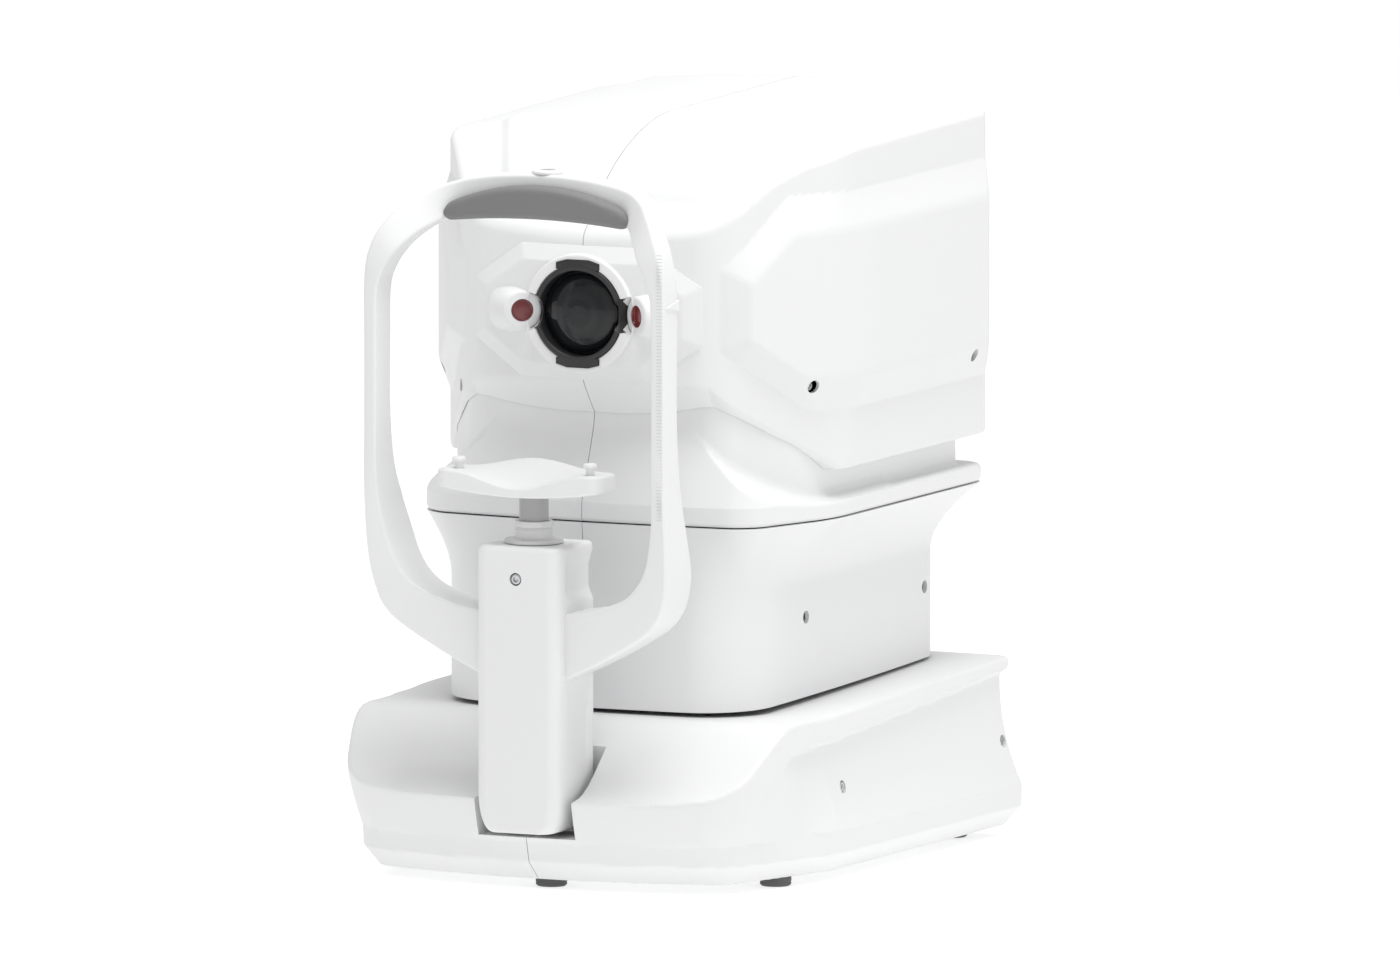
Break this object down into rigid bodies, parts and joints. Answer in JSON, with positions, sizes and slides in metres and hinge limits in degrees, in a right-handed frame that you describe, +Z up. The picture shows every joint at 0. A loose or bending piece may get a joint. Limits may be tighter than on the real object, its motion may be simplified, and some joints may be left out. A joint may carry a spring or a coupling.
{
  "type": "desktop eye scanner",
  "caption": "Table-top eye scanner: a measuring head on a motorised three-axis tower, with a chin tray on a post and a forehead hoop.",
  "frame": {"origin": "centre of the footprint, on the table under the feet", "axes": "+Z up, the patient sits on the -Y side, +X to the right seen from the patient's side"},
  "size_m": [0.332, 0.4426, 0.4905],
  "materials": {
    "shell": "satin moulded plastic with a fine grain",
    "white_trim": "smooth",
    "black_trim": "satin black",
    "pad": "soft moulded foam skin",
    "steel": "turned",
    "aluminium": "machined",
    "rubber": "matt",
    "lens_glass": "coated optical glass",
    "lamp_window": "dark red polished window",
    "motor_black": "black anodised",
    "board": "solder mask"
  },
  "bodies": {
    "base": {"base_cover_left": "shell", "base_cover_right": "shell", "base_frame": "aluminium", "foot_front": "rubber", "foot_left": "rubber", "foot_right": "rubber", "foot_rear_left": "rubber", "foot_rear_right": "rubber", "power_supply": "aluminium", "main_board": "board", "power_inlet": "black_trim", "x_rail_front": "steel", "x_rail_rear": "steel", "x_motor": "motor_black", "chin_post": "shell", "chin_collar": "steel", "chin_motor": "motor_black", "headrest_hoop": "shell", "hoop_bush": "white_trim", "forehead_pad": "pad"},
    "power_rocker": {"power_switch": "black_trim"},
    "x_lead_screw": {"x_screw": "steel"},
    "cross_slide": {"cross_plate": "aluminium", "y_rail_left": "steel", "y_rail_right": "steel", "y_motor": "motor_black"},
    "y_lead_screw": {"y_screw": "steel"},
    "tower": {"tower_plate": "aluminium", "tower_cover_left": "shell", "tower_cover_right": "shell", "z_rod_left": "steel", "z_rod_right": "steel", "z_motor": "motor_black"},
    "z_lead_screw": {"z_screw": "steel"},
    "head": {"collar_cover_left": "shell", "collar_cover_right": "shell", "neck_skirt": "black_trim", "head_cover_left": "shell", "head_cover_right": "shell", "head_chassis": "aluminium", "nose_plate": "shell", "objective_ring": "white_trim", "bayonet_ring": "black_trim", "objective_lens": "lens_glass", "objective_barrel": "aluminium", "lamp_window_left": "lamp_window", "lamp_window_right": "lamp_window", "scanner_mount": "aluminium", "spectrometer": "motor_black", "light_source": "motor_black", "head_board": "board"},
    "focus_stage": {"focus_carriage": "motor_black"},
    "mirror_x": {"galvo_mirror_x": "steel"},
    "mirror_y": {"galvo_mirror_y": "steel"},
    "reference_stage": {"reference_carriage": "aluminium"},
    "chin_rest": {"chin_shaft": "aluminium", "chin_tray": "shell"},
    "chin_lead_screw": {"chin_screw": "steel"},
    "pin_left": {"paper_pin_left": "white_trim"},
    "pin_right": {"paper_pin_right": "white_trim"}
  },
  "joints": [
    {"name": "x_travel", "type": "slide", "parent": "base", "child": "cross_slide", "axis": [1, 0, 0], "range_m": [-0.044, 0.044]},
    {"name": "y_travel", "type": "slide", "parent": "cross_slide", "child": "tower", "axis": [0, 1, 0], "range_m": [-0.018, 0.02]},
    {"name": "z_lift", "type": "slide", "parent": "tower", "child": "head", "axis": [0, 0, 1], "range_m": [0, 0.04]},
    {"name": "x_screw_turn", "type": "hinge", "parent": "base", "child": "x_lead_screw", "pos_m": [0, 0.049, 0.119], "axis": [1, 0, 0], "range_deg": [-1600, 1600]},
    {"name": "y_screw_turn", "type": "hinge", "parent": "cross_slide", "child": "y_lead_screw", "pos_m": [0, 0.05, 0.15335], "axis": [0, 1, 0], "range_deg": [-800, 800]},
    {"name": "z_screw_turn", "type": "hinge", "parent": "tower", "child": "z_lead_screw", "pos_m": [0, 0.162, 0.2], "axis": [0, 0, 1], "range_deg": [-10, 2900]},
    {"name": "chin_lift", "type": "slide", "parent": "base", "child": "chin_rest", "axis": [0, 0, 1], "range_m": [-0.016, 0.044]},
    {"name": "chin_screw_turn", "type": "hinge", "parent": "base", "child": "chin_lead_screw", "pos_m": [0, -0.1866, 0.1], "axis": [0, 0, 1], "range_deg": [-1300, 3200]},
    {"name": "pin_left_pull", "type": "slide", "parent": "chin_rest", "child": "pin_left", "axis": [0, 0, 1], "range_m": [0, 0.01]},
    {"name": "pin_right_pull", "type": "slide", "parent": "chin_rest", "child": "pin_right", "axis": [0, 0, 1], "range_m": [0, 0.01]},
    {"name": "focus_travel", "type": "slide", "parent": "head", "child": "focus_stage", "axis": [0, 1, 0], "range_m": [-0.015, 0.015]},
    {"name": "reference_travel", "type": "slide", "parent": "head", "child": "reference_stage", "axis": [0, 1, 0], "range_m": [-0.02, 0.03]},
    {"name": "mirror_x_swing", "type": "hinge", "parent": "head", "child": "mirror_x", "pos_m": [-0.02, 0.084, 0.34], "axis": [0, 0, 1], "range_deg": [-12, 12]},
    {"name": "mirror_y_swing", "type": "hinge", "parent": "head", "child": "mirror_y", "pos_m": [0.022, 0.094, 0.34], "axis": [0, 0, 1], "range_deg": [-12, 12]},
    {"name": "power_rock", "type": "hinge", "parent": "base", "child": "power_rocker", "pos_m": [-0.072, 0.2145, 0.042], "axis": [1, 0, 0], "range_deg": [0, 8]}
  ],
  "couplings": [
    {"joint": "x_screw_turn", "follows": "x_travel", "rad_per_m": 628.32},
    {"joint": "y_screw_turn", "follows": "y_travel", "rad_per_m": 628.32},
    {"joint": "z_screw_turn", "follows": "z_lift", "rad_per_m": 1256.6},
    {"joint": "chin_screw_turn", "follows": "chin_lift", "rad_per_m": 1256.6}
  ]
}
